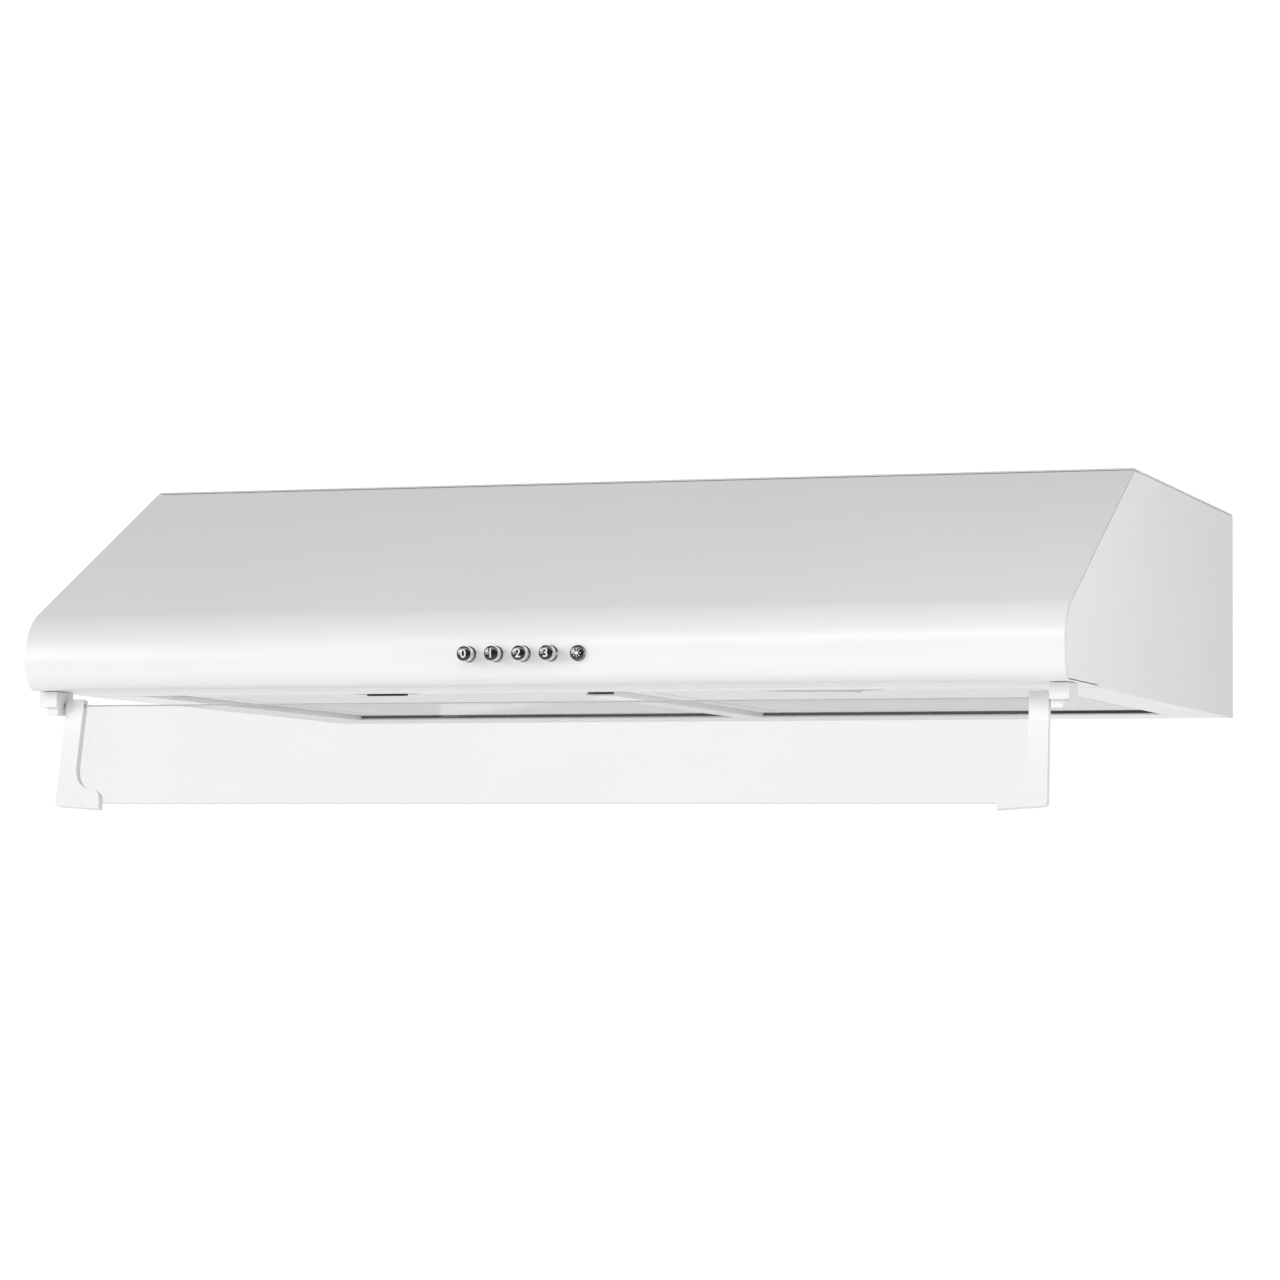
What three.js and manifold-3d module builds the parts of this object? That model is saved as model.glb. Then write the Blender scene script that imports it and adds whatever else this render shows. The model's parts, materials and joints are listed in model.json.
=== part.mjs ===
// Under-cabinet range hood, 600 mm wide, with a swing-out clear visor.
//
// Millimetres. X runs to the right, Y to the rear and Z up. The pieces are drawn with the body's
// bottom rim at Z = 0 and its top front edge at Y = 0. The exported group then moves the whole
// hood so that the origin is on the flat top, where it screws to the cabinet above.

import * as THREE from 'three';
import { mergeVertices } from 'three/addons/utils/BufferGeometryUtils.js';
import Module from 'manifold-3d';

const wasm = await Module();
wasm.setup();

const degrees = THREE.MathUtils.degToRad;

// ---------------------------------------------------------------- driving dimensions

const WIDTH = 600;
const HEIGHT = 128;
const TOP_DEPTH = 298;
const SHEET = 1;
const GAP = 0.4;
const ORIGIN_Y = 70;

// Holes that hang the hood: screws up into the cabinet, and keyholes in the rear panel.
const SCREW_X = 260;
const SCREW_ROWS = [45, 265];
const SCREW_HOLE_RADIUS = 3.5;
const KEYHOLE_X = 220;
const KEYHOLE_Z = 90;

// Front sheet: a straight slope, then a nose of two arcs that meet at the button row.
const SLOPE = degrees(27.6);
const NOSE_FRONT = -177;
const NOSE_Z = 17;
const UPPER_RADIUS = 30;
const LOWER_RADIUS = 20;
const LIP_REAR = -94;
const HEM_DEPTH = 14;

// Underside: flanges round a bay that holds the lamp panel and the two grease filters.
const BAY_HALF_WIDTH = 267;
const BAY_REAR = 246;
const UPSTAND = 12;
const RECESS = 3;
const LAMP_PANEL_REAR = -47;
const RAIL_HALF_WIDTH = 9;

// Grease filters, each hinged at its rear edge.
const FILTER_HEIGHT = 9;
const FILTER_BORDER = 12;
const FILTER_SHEET = 1.2;
const FILTER_FRONT_BAR = 30;
const FILTER_FRONT = LAMP_PANEL_REAR + 1;
const FILTER_REAR = BAY_REAR - 2.4;
const FILTER_INNER = RAIL_HALF_WIDTH + 0.6;
const FILTER_OUTER = BAY_HALF_WIDTH - 1.6;
const SEAL_DEPTH = 1.4;
const SEAL_BOTTOM = 1.1;
const SEAL_TOP = 2.7;

// Push buttons, in a row on the nose. The last one, for the light, stays pressed in.
const BUTTON_RADIUS = 4.05;
const BUTTON_PITCH = 15.8;
const BUTTON_PROUD = 8.6;
const BUTTON_TRAVEL = 6;
const BUTTON_LENGTH = 25;
const BUTTON_NAMES = ['off', 'speed_1', 'speed_2', 'speed_3', 'light'];
const BUTTON_HOLE_RADIUS = 4.4;
const SLEEVE_BORE = 4.35;
const SLEEVE_RADIUS = 4.8;
const SLEEVE_FRONT = NOSE_FRONT + 2.1;

// Duct outlet on the top, with two half-round flaps on one spindle.
const OUTLET_Y = 228;
const OUTLET_RADIUS = 60;
const OUTLET_WALL = 3;
const OUTLET_TOP = HEIGHT + 16;
const OUTLET_BOTTOM = HEIGHT - 14;
const FLAP_AXIS_Z = OUTLET_BOTTOM + 3.5;

// Fan: a spiral casing that opens downwards, and a drum impeller under its motor.
const FAN_X = -75;
const FAN_Y = 104;
const FAN_BOTTOM = 42;
const FAN_TOP = 125;
const FAN_WALL = 1.6;
const SPIRAL_START = degrees(60);
const SPIRAL_RADIUS = 76;
const SPIRAL_GROWTH = 34;
const INLET_RADIUS = 52;
const IMPELLER_RADIUS = 70;
const IMPELLER_BOTTOM = 46;
const IMPELLER_TOP = 90;
const BLADES = 24;
const SHAFT_RADIUS = 4;
const CAN_TOP = FAN_TOP - FAN_WALL - GAP;
const CAN_BOTTOM = IMPELLER_TOP + 2;

// Terminal box and the gland where the mains cable comes in through the top.
const TERMINAL_X = 210;
const TERMINAL_Y = 262;
const TERMINAL_HALF_WIDTH = 32;
const TERMINAL_HALF_DEPTH = 26;
const TERMINAL_BOTTOM = 74;
const TERMINAL_TOP = 110;
const GLAND_X = 150;
const GLAND_Y = 262;
const GLAND_RADIUS = 7.5;
const CABLE_RADIUS = 4;

// Lamp behind an oval lens, right of the middle.
const LAMP_X = 137;
const LAMP_Y = -70.8;
const LENS_HALF_LENGTH = 44;
const LENS_HALF_WIDTH = 18.5;
const BULB_Z = 28;

// Visor, drawn in its own plane with the hinge axis at the local origin.
const VISOR_AXIS_Y = -149;
const VISOR_AXIS_Z = -8;
const VISOR_TILT = degrees(10);
const BRACKET_OUTER = 287.2;
const BRACKET_BOTTOM = -58.4;
const BRACKET_HALF_THICKNESS = 2.5;
const VISOR_THICKNESS = 3;
const VISOR_TOP = 1.1;
const VISOR_BOTTOM = -55.9;
const VISOR_HALF_WIDTH = BRACKET_OUTER - 3;
const PIN_RADIUS = 1.2;
const PIN_HOLE_RADIUS = 1.5;
const BLOCK_INNER = 287.8;
const BLOCK_OUTER = 298.5;

// ---------------------------------------------------------------- solids from three.js shapes

function solidOf(geometry) {
  geometry.deleteAttribute('normal');
  geometry.deleteAttribute('uv');
  const merged = mergeVertices(geometry, 1e-4);
  const corners = merged.index.array;
  const faces = [];
  for (let i = 0; i < corners.length; i += 3) {
    const [a, b, c] = corners.slice(i, i + 3);
    if (a !== b && b !== c && c !== a) faces.push(a, b, c);
  }
  return new wasm.Manifold(new wasm.Mesh({
    numProp: 3,
    vertProperties: new Float32Array(merged.attributes.position.array),
    triVerts: new Uint32Array(faces),
  }));
}

function geometryOf(solid) {
  const mesh = solid.getMesh();
  const geometry = new THREE.BufferGeometry();
  geometry.setAttribute('position', new THREE.BufferAttribute(mesh.vertProperties, 3));
  geometry.setIndex(new THREE.BufferAttribute(mesh.triVerts, 1));
  geometry.computeVertexNormals();
  return geometry;
}

const joined = (...solids) => solids.reduce((whole, piece) => whole.add(piece));
const cut = (solid, ...tools) => tools.reduce((whole, tool) => whole.subtract(tool), solid);

function box(x0, x1, y0, y1, z0, z1) {
  const geometry = new THREE.BoxGeometry(Math.abs(x1 - x0), y1 - y0, z1 - z0);
  geometry.translate((x0 + x1) / 2, (y0 + y1) / 2, (z0 + z1) / 2);
  return solidOf(geometry);
}

function extruded(shape, depth, curveSegments = 12) {
  return new THREE.ExtrudeGeometry(shape, { depth, bevelEnabled: false, curveSegments });
}

// A prism along X whose outline is given as (Y, Z) points.
function prismX(outline, x0, x1) {
  const geometry = extruded(new THREE.Shape(outline), Math.abs(x1 - x0));
  const axes = [new THREE.Vector3(0, 1, 0), new THREE.Vector3(0, 0, 1), new THREE.Vector3(1, 0, 0)];
  geometry.applyMatrix4(new THREE.Matrix4().makeBasis(...axes));
  geometry.translate(Math.min(x0, x1), 0, 0);
  return solidOf(geometry);
}

// A prism along Z whose outline is a shape in X and Y.
function prismZ(shape, z0, z1, curveSegments) {
  const geometry = extruded(shape, z1 - z0, curveSegments);
  geometry.translate(0, 0, z0);
  return solidOf(geometry);
}

// A solid of revolution about the vertical through (x, y), from (radius, height) points.
function turnedZ(profile, x, y, segments = 32, stretchX = 1) {
  const geometry = new THREE.LatheGeometry(profile.map(([r, z]) => new THREE.Vector2(r, z)), segments);
  geometry.rotateX(Math.PI / 2);
  geometry.scale(stretchX, 1, 1);
  geometry.translate(x, y, 0);
  return solidOf(geometry);
}

// The same about a line along X or Y, from (radius, distance along the line) points.
function turnedX(profile, y, z, segments = 24) {
  const geometry = new THREE.LatheGeometry(profile.map(([r, x]) => new THREE.Vector2(r, x)), segments);
  geometry.rotateZ(-Math.PI / 2);
  geometry.translate(0, y, z);
  return solidOf(geometry);
}

function turnedY(profile, x, z, segments = 24) {
  const geometry = new THREE.LatheGeometry(profile.map(([r, y]) => new THREE.Vector2(r, y)), segments);
  geometry.translate(x, 0, z);
  return solidOf(geometry);
}

const rod = (radius, from, to) => [[0, from], [radius, from], [radius, to], [0, to]];
const ring = (inner, outer, from, to) =>
  [[inner, from], [outer, from], [outer, to], [inner, to], [inner, from]];

// ---------------------------------------------------------------- sheet-metal outlines

const slopeY = (z, inset = 0) => -(HEIGHT - z) / Math.tan(SLOPE) + inset / Math.sin(SLOPE);

// Outer line of the front sheet in (Y, Z), from its top hem down the slope and round the nose
// to the upstand behind the lip.
function frontLine() {
  const line = new THREE.Path();
  const hemZ = HEIGHT - SHEET - GAP;
  const upperCentreY = NOSE_FRONT + UPPER_RADIUS;
  const lowerCentreY = NOSE_FRONT + LOWER_RADIUS;
  line.moveTo(HEM_DEPTH, hemZ);
  line.lineTo(slopeY(hemZ), hemZ);
  line.absarc(upperCentreY, NOSE_Z, UPPER_RADIUS, Math.PI / 2 + SLOPE, Math.PI, false);
  line.absarc(lowerCentreY, NOSE_Z, LOWER_RADIUS, Math.PI, Math.PI + Math.asin(NOSE_Z / LOWER_RADIUS), false);
  line.lineTo(LIP_REAR, 0);
  line.lineTo(LIP_REAR, UPSTAND);
  return line.getPoints(6);
}

// The line moved sideways, towards the left of its direction.
function offsetLine(points, distance) {
  return points.map((point, i) => {
    const next = points[Math.min(i + 1, points.length - 1)];
    const last = points[Math.max(i - 1, 0)];
    const after = (i < points.length - 1 ? next.clone().sub(point) : point.clone().sub(last)).normalize();
    const before = (i > 0 ? point.clone().sub(last) : after.clone()).normalize();
    const side = new THREE.Vector2(-before.y, before.x);
    const middle = new THREE.Vector2(-after.y, after.x).add(side).normalize();
    return point.clone().addScaledVector(middle, distance / middle.dot(side));
  });
}

const thickened = (line, thickness) => [...line, ...offsetLine(line, thickness).reverse()];

// ---------------------------------------------------------------- casing

function frontPanel() {
  const sheet = prismX(thickened(frontLine(), SHEET), -WIDTH / 2, WIDTH / 2);
  const trims = [];
  for (const side of [-1, 1]) {
    const inner = side * (WIDTH / 2 - SHEET - GAP);
    const outer = side * (WIDTH / 2 + SHEET);
    trims.push(box(inner, outer, slopeY(HEIGHT - SHEET), HEM_DEPTH + SHEET, HEIGHT - 4, HEIGHT));
    trims.push(box(inner, outer, LIP_REAR - 2 * SHEET, LIP_REAR + SHEET, -SHEET, UPSTAND + SHEET));
  }
  const drill = rod(BUTTON_HOLE_RADIUS, NOSE_FRONT - 9, NOSE_FRONT + 9);
  const holes = buttonPlaces().map((x) => turnedY(drill, x, NOSE_Z));
  return cut(sheet, ...trims, ...holes);
}

function sidePanel(side) {
  const inset = SHEET + GAP;
  const topZ = HEIGHT - inset;
  const rearY = TOP_DEPTH - inset;
  const nose = offsetLine(frontLine(), inset).slice(2, -2);
  const outline = [
    new THREE.Vector2(rearY, topZ),
    new THREE.Vector2(slopeY(topZ, inset), topZ),
    ...nose,
    new THREE.Vector2(LIP_REAR + GAP, inset),
    new THREE.Vector2(LIP_REAR + GAP, 0),
    new THREE.Vector2(rearY, 0),
  ];
  const sheet = prismX(outline, side * (WIDTH / 2 - SHEET), side * WIDTH / 2);
  const front = LIP_REAR + GAP;
  const rear = BAY_REAR - GAP;
  const flange = box(side * BAY_HALF_WIDTH, side * (WIDTH / 2 - SHEET / 2), front, rear, 0, SHEET);
  const upstand = box(side * BAY_HALF_WIDTH, side * (BAY_HALF_WIDTH + SHEET), front, rear, 0, UPSTAND);
  return joined(sheet, flange, upstand);
}

function topPanel() {
  const underside = HEIGHT - SHEET;
  const outline = [[slopeY(underside), underside], [TOP_DEPTH, underside], [TOP_DEPTH, HEIGHT], [0, HEIGHT]];
  const sheet = prismX(outline.map(([y, z]) => new THREE.Vector2(y, z)), -WIDTH / 2, WIDTH / 2);
  const bore = (radius, x, y, segments) => turnedZ(rod(radius, underside - 5, HEIGHT + 5), x, y, segments);
  const screwHoles = [-1, 1].flatMap((side) =>
    SCREW_ROWS.map((y) => bore(SCREW_HOLE_RADIUS, side * SCREW_X, y, 16)));
  const outletHole = bore(OUTLET_RADIUS + 1, 0, OUTLET_Y, 48);
  const glandHole = bore(GLAND_RADIUS + 0.5, GLAND_X, GLAND_Y, 24);
  return cut(sheet, outletHole, glandHole, ...screwHoles);
}

// Rear panel with its bottom flange. Two keyholes hang the hood on wall screws.
function rearPanel() {
  const inner = WIDTH / 2 - SHEET - GAP;
  const sheet = box(-WIDTH / 2, WIDTH / 2, TOP_DEPTH - SHEET, TOP_DEPTH, 0, HEIGHT - SHEET - GAP);
  const flange = box(-inner, inner, BAY_REAR, TOP_DEPTH - SHEET / 2, 0, SHEET);
  const upstand = box(-inner, inner, BAY_REAR, BAY_REAR + SHEET, 0, UPSTAND);
  const keyholes = [-KEYHOLE_X, KEYHOLE_X].flatMap((x) => [
    turnedY(rod(6, TOP_DEPTH - 5, TOP_DEPTH + 5), x, KEYHOLE_Z),
    box(x - 2.5, x + 2.5, TOP_DEPTH - 5, TOP_DEPTH + 5, KEYHOLE_Z, KEYHOLE_Z + 16),
  ]);
  return cut(joined(sheet, flange, upstand), ...keyholes);
}

function filterRail() {
  const front = LAMP_PANEL_REAR + GAP;
  const rear = BAY_REAR - GAP;
  const base = box(-RAIL_HALF_WIDTH, RAIL_HALF_WIDTH, front, rear, 0, SHEET);
  const walls = [-1, 1].map((side) =>
    box(side * (RAIL_HALF_WIDTH - SHEET), side * RAIL_HALF_WIDTH, front, rear, 0, UPSTAND));
  return joined(base, ...walls);
}

// Strip between the lip and the filters, with the lens opening and a narrow finger gap.
function lampPanel() {
  const half = BAY_HALF_WIDTH - GAP;
  const front = LIP_REAR + GAP;
  const floorTop = RECESS + SHEET;
  const floor = box(-half, half, front, LAMP_PANEL_REAR, RECESS, floorTop);
  const frontWall = box(-half, half, front, front + SHEET, RECESS, UPSTAND);
  const rearWall = box(-half, half, LAMP_PANEL_REAR - SHEET, LAMP_PANEL_REAR, RECESS, RECESS + 5);
  const opening = turnedZ(rod(LENS_HALF_WIDTH + GAP, 0, floorTop + 1), LAMP_X, LAMP_Y, 40,
    LENS_HALF_LENGTH / LENS_HALF_WIDTH);
  const gapFront = front + SHEET;
  const gapOutline = new THREE.Shape();
  gapOutline.moveTo(-18, gapFront + 5);
  gapOutline.quadraticCurveTo(15, gapFront + 0.5, 52, gapFront + 0.2);
  gapOutline.quadraticCurveTo(15, gapFront + 2.8, -18, gapFront + 9);
  const fingerGap = prismZ(gapOutline, RECESS - 1, floorTop + 1, 8);
  return cut(joined(floor, frontWall, rearWall), opening, fingerGap);
}

// ---------------------------------------------------------------- duct outlet

function outletCollar() {
  const inner = OUTLET_RADIUS - OUTLET_WALL;
  const ledge = inner - 5;
  const flangeZ = HEIGHT + GAP;
  return turnedZ([
    [ledge, OUTLET_BOTTOM], [OUTLET_RADIUS, OUTLET_BOTTOM], [OUTLET_RADIUS, flangeZ],
    [OUTLET_RADIUS + 10, flangeZ], [OUTLET_RADIUS + 10, flangeZ + 1.6], [OUTLET_RADIUS, flangeZ + 1.6],
    [OUTLET_RADIUS, OUTLET_TOP], [inner, OUTLET_TOP], [inner, OUTLET_BOTTOM + 1.5],
    [ledge, OUTLET_BOTTOM + 1.5], [ledge, OUTLET_BOTTOM],
  ], 0, OUTLET_Y, 48);
}

function damperFlap(side) {
  const radius = OUTLET_RADIUS - OUTLET_WALL - 1.5;
  const fromAxis = 2.4;
  const start = Math.asin(fromAxis / radius);
  const shape = new THREE.Shape();
  shape.absarc(0, 0, radius, start, Math.PI - start, false);
  const lowest = OUTLET_BOTTOM + 1.5 + GAP;
  const geometry = extruded(shape, 1.2, 14);
  geometry.translate(0, 0, lowest);
  if (side < 0) geometry.rotateZ(Math.PI);
  geometry.translate(0, OUTLET_Y, 0);
  return solidOf(geometry);
}

const damperSpindle = () => {
  const half = OUTLET_RADIUS - OUTLET_WALL - GAP;
  return turnedX(rod(1.4, -half, half), OUTLET_Y, FLAP_AXIS_Z, 12);
};

// ---------------------------------------------------------------- fan and motor

// The casing's solid form, drawn in by the inset: the spiral, the throat and the outlet chamber.
function scrollForm(inset, z0, z1) {
  const steps = 25;
  const whole = 2 * Math.PI;
  const centre = new THREE.Vector2(FAN_X, FAN_Y);
  const onSpiral = (angle) => {
    const radius = SPIRAL_RADIUS + SPIRAL_GROWTH * (angle - SPIRAL_START) / whole - inset;
    return new THREE.Vector2(radius, 0).rotateAround(new THREE.Vector2(), angle).add(centre);
  };
  const spiral = [centre];
  for (let i = 0; i <= steps; i += 1) {
    spiral.push(onSpiral(SPIRAL_START + (whole - SPIRAL_START) * i / steps));
  }
  const chamberRadius = OUTLET_RADIUS + 6 - inset;
  const throat = [
    onSpiral(SPIRAL_START), centre, onSpiral(whole),
    new THREE.Vector2(chamberRadius, OUTLET_Y), new THREE.Vector2(inset - 30, OUTLET_Y - 40),
  ];
  const chamber = turnedZ(rod(chamberRadius, z0, z1), 0, OUTLET_Y, 40);
  return joined(prismZ(new THREE.Shape(spiral), z0, z1), prismZ(new THREE.Shape(throat), z0, z1), chamber);
}

function fanScroll() {
  const shell = scrollForm(0, FAN_BOTTOM, FAN_TOP)
    .subtract(scrollForm(FAN_WALL, FAN_BOTTOM + FAN_WALL, FAN_TOP - FAN_WALL));
  const inlet = turnedZ(rod(INLET_RADIUS, FAN_BOTTOM - 5, FAN_BOTTOM + 5), FAN_X, FAN_Y, 40);
  const outlet = turnedZ(rod(OUTLET_RADIUS + 1, FAN_TOP - 5, FAN_TOP + 5), 0, OUTLET_Y, 40);
  const roof = FAN_TOP - FAN_WALL;
  const bearingBoss = turnedZ(ring(10, 13, roof - 7, roof + SHEET), FAN_X, FAN_Y, 24);
  return joined(cut(shell, inlet, outlet), bearingBoss);
}

const onFanAxis = (profile, segments) => turnedZ(profile, FAN_X, FAN_Y, segments);

// Drum impeller: a back plate with a hub, curved blades and a stiffening ring at the inlet.
function impeller() {
  const bore = SHAFT_RADIUS + 0.01;
  const hubBottom = IMPELLER_TOP - 22;
  const plateBottom = IMPELLER_TOP - 2;
  const bladeInner = IMPELLER_RADIUS - 11;
  const plate = onFanAxis([
    [bore, hubBottom], [12, hubBottom], [12, plateBottom], [IMPELLER_RADIUS, plateBottom],
    [IMPELLER_RADIUS, IMPELLER_TOP], [bore, IMPELLER_TOP], [bore, hubBottom],
  ], 48);
  const rim = onFanAxis(ring(bladeInner, IMPELLER_RADIUS, IMPELLER_BOTTOM, IMPELLER_BOTTOM + 1.6), 48);
  const section = new THREE.Shape();
  section.moveTo(bladeInner, -2);
  section.quadraticCurveTo(IMPELLER_RADIUS - 4, -3, IMPELLER_RADIUS - 1, 2.4);
  section.lineTo(IMPELLER_RADIUS - 2.2, 3);
  section.quadraticCurveTo(IMPELLER_RADIUS - 5, -1.6, bladeInner, -0.8);
  const blades = [];
  for (let i = 0; i < BLADES; i += 1) {
    const blade = extruded(section, plateBottom - IMPELLER_BOTTOM, 3);
    blade.translate(0, 0, IMPELLER_BOTTOM + 1);
    blade.rotateZ(i * 2 * Math.PI / BLADES);
    blade.translate(FAN_X, FAN_Y, 0);
    blades.push(solidOf(blade));
  }
  return joined(plate, rim, ...blades);
}

const motorShaft = () => onFanAxis(rod(SHAFT_RADIUS - 0.3, IMPELLER_TOP - 26, CAN_TOP - 2), 20);

// Open-topped can with a mounting flange, which hangs from the casing's roof.
const motorCan = () => onFanAxis([
  [10, CAN_BOTTOM], [40, CAN_BOTTOM], [40, CAN_TOP - 1.5], [48, CAN_TOP - 1.5], [48, CAN_TOP],
  [38.5, CAN_TOP], [38.5, CAN_BOTTOM + 1.5], [10, CAN_BOTTOM + 1.5], [10, CAN_BOTTOM],
], 40);
const motorStator = () => onFanAxis(ring(22.5, 38, CAN_BOTTOM + 5, CAN_BOTTOM + 23), 40);
const motorRotor = () => onFanAxis(ring(SHAFT_RADIUS, 22, CAN_BOTTOM + 6, CAN_BOTTOM + 22), 32);
const bearing = (z) => onFanAxis(ring(SHAFT_RADIUS, 9.5, z, z + 4), 24);

const capacitor = () => turnedX(rod(15, 110, 165), 120, 96);

// Block over the terminal box's outline, drawn in by the wall.
function terminalBlock(wall, z0, z1) {
  const halfWidth = TERMINAL_HALF_WIDTH - wall;
  const halfDepth = TERMINAL_HALF_DEPTH - wall;
  return box(TERMINAL_X - halfWidth, TERMINAL_X + halfWidth, TERMINAL_Y - halfDepth, TERMINAL_Y + halfDepth,
    z0, z1);
}

// Open downwards, under its own flat lid.
function terminalBox() {
  const wall = 2;
  return cut(terminalBlock(0, TERMINAL_BOTTOM, TERMINAL_TOP),
    terminalBlock(wall, TERMINAL_BOTTOM - 4, TERMINAL_TOP - wall));
}

const terminalLid = () => terminalBlock(0, TERMINAL_BOTTOM - GAP - 2, TERMINAL_BOTTOM - GAP);

const cableGland = () => turnedZ([
  [CABLE_RADIUS, HEIGHT - 12], [GLAND_RADIUS, HEIGHT - 12], [GLAND_RADIUS, HEIGHT + GAP],
  [12, HEIGHT + GAP], [12, HEIGHT + 3], [7, HEIGHT + 6], [CABLE_RADIUS, HEIGHT + 6],
  [CABLE_RADIUS, HEIGHT - 12],
], GLAND_X, GLAND_Y, 24);

// Bundle of wires from the switches to the terminal box, clipped up under the slope.
function wiringLoom() {
  const route = new THREE.CatmullRomCurve3([
    new THREE.Vector3(30, -139, 18), new THREE.Vector3(34, -118, 26), new THREE.Vector3(60, -90, 58),
    new THREE.Vector3(130, -20, 88), new THREE.Vector3(200, 90, 92), new THREE.Vector3(TERMINAL_X, 180, 92),
    new THREE.Vector3(TERMINAL_X, TERMINAL_Y - TERMINAL_HALF_DEPTH - GAP, 92),
  ]);
  const section = new THREE.Shape();
  section.absarc(0, 0, 3, 0, 2 * Math.PI, false);
  return solidOf(new THREE.ExtrudeGeometry(section, { steps: 36, extrudePath: route, curveSegments: 4 }));
}

// ---------------------------------------------------------------- switches and buttons

const buttonPlaces = () => BUTTON_NAMES.map((_, i) => (i - (BUTTON_NAMES.length - 1) / 2) * BUTTON_PITCH);

// Switch housing behind the nose. Each button slides in a sleeve that ends close behind the sheet.
function switchBlock() {
  const front = NOSE_FRONT + 6;
  const body = box(-44, 44, front, front + 30, 6, 28);
  const sleeve = rod(SLEEVE_RADIUS, SLEEVE_FRONT, front + 1);
  const bore = rod(SLEEVE_BORE, NOSE_FRONT - 5, front + 24);
  const sleeves = buttonPlaces().map((x) => turnedY(sleeve, x, NOSE_Z));
  const bores = buttonPlaces().map((x) => turnedY(bore, x, NOSE_Z));
  return cut(joined(body, ...sleeves), ...bores);
}

// A plunger with a rounded edge round a flat face. Pressed says how far it is pushed in.
function pushButton(x, pressed) {
  const face = NOSE_FRONT - BUTTON_PROUD + pressed;
  return turnedY([
    [0, face], [BUTTON_RADIUS - 0.7, face], [BUTTON_RADIUS - 0.2, face + 0.2],
    [BUTTON_RADIUS, face + 0.7], [BUTTON_RADIUS, face + BUTTON_LENGTH], [0, face + BUTTON_LENGTH],
  ], x, NOSE_Z);
}

// ---------------------------------------------------------------- lamp

// Clear oval lens: a shallow dome below the panel and a rim that rests on top of it.
function lampLens() {
  const outer = LENS_HALF_WIDTH;
  const rim = outer + 2.2;
  const seat = RECESS + SHEET + GAP;
  return turnedZ([
    [0, 0.2], [outer * 0.55, 0.4], [outer * 0.85, 1.3], [outer, 3], [outer, seat], [rim, seat],
    [rim, seat + 1.6], [outer - 2, seat + 1.6], [outer - 2, 3.4], [outer * 0.55, 2.4], [0, 2.2],
  ], LAMP_X, LAMP_Y, 40, LENS_HALF_LENGTH / outer);
}

function lampReflector() {
  const top = 48;
  const outline = [
    [LAMP_Y - 19, RECESS + 12], [LAMP_Y - 19, top - 8], [LAMP_Y - 11, top],
    [LAMP_Y + 11, top], [LAMP_Y + 19, top - 8], [LAMP_Y + 19, RECESS + 12],
  ].map(([y, z]) => new THREE.Vector2(y, z));
  return prismX([...outline, ...offsetLine(outline, -1).reverse()], LAMP_X - 62, LAMP_X + 62);
}

function lampHolder() {
  return turnedX(ring(7.2, 12.5, LAMP_X - 60, LAMP_X - 30), LAMP_Y, BULB_Z);
}

function lampBulb() {
  return turnedX([
    [0, LAMP_X - 56], [6.6, LAMP_X - 52], [6.6, LAMP_X - 30], [9, LAMP_X - 26], [13, LAMP_X - 14],
    [14.5, LAMP_X], [12.5, LAMP_X + 14], [7, LAMP_X + 24], [0, LAMP_X + 28],
  ], LAMP_Y, BULB_Z);
}

// ---------------------------------------------------------------- grease filters

const filterMiddle = (side) => side * (FILTER_INNER + FILTER_OUTER) / 2;

// Shallow tray of folded sheet, open upwards, with a window for the mesh and a pocket for the catch.
function filterFrame(side) {
  const z0 = RECESS;
  const z1 = RECESS + FILTER_HEIGHT;
  const middle = filterMiddle(side);
  const wall = FILTER_SHEET;
  const block = box(side * FILTER_INNER, side * FILTER_OUTER, FILTER_FRONT, FILTER_REAR, z0, z1);
  const hollow = box(side * (FILTER_INNER + wall), side * (FILTER_OUTER - wall),
    FILTER_FRONT + wall, FILTER_REAR - wall, z0 + wall, z1 + 1);
  const window = box(side * (FILTER_INNER + FILTER_BORDER), side * (FILTER_OUTER - FILTER_BORDER),
    FILTER_FRONT + FILTER_FRONT_BAR, FILTER_REAR - FILTER_BORDER, z0 - 1, z1 + 1);
  const pocket = box(middle - 20, middle + 20, FILTER_FRONT + 6, FILTER_FRONT + 23, z0 - 1, z1);
  const slot = box(middle - 8.5, middle + 8.5, FILTER_FRONT - 1, FILTER_FRONT + 7, z0 + 5.3, z0 + 8.1);
  return cut(block, hollow, window, pocket, slot);
}

function filterMesh(side) {
  const edge = FILTER_SHEET + GAP;
  return box(side * (FILTER_INNER + edge), side * (FILTER_OUTER - edge),
    FILTER_FRONT + FILTER_FRONT_BAR - 3, FILTER_REAR - edge, RECESS + 3, RECESS + 4.6);
}

// Sliding catch: a finger block in the frame's pocket and a tongue over the lamp panel's edge.
function filterLatch(side) {
  const middle = filterMiddle(side);
  const z0 = RECESS;
  const block = box(middle - 19.5, middle + 19.5, FILTER_FRONT + 6.5, FILTER_FRONT + 16, z0 + 0.6, z0 + 8.6);
  const tongue = box(middle - 8, middle + 8, FILTER_FRONT - 3.2, FILTER_FRONT + 7, z0 + 5.6, z0 + 7.8);
  const grip = box(middle - 12, middle + 12, FILTER_FRONT + 12, FILTER_FRONT + 17, z0 - 1, z0 + 5);
  const notch = box(middle - 12.5, middle + 12.5, FILTER_FRONT + 8, FILTER_FRONT + 12, z0 - 2, z0 + 4);
  return cut(joined(block, tongue, grip), notch);
}

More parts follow.
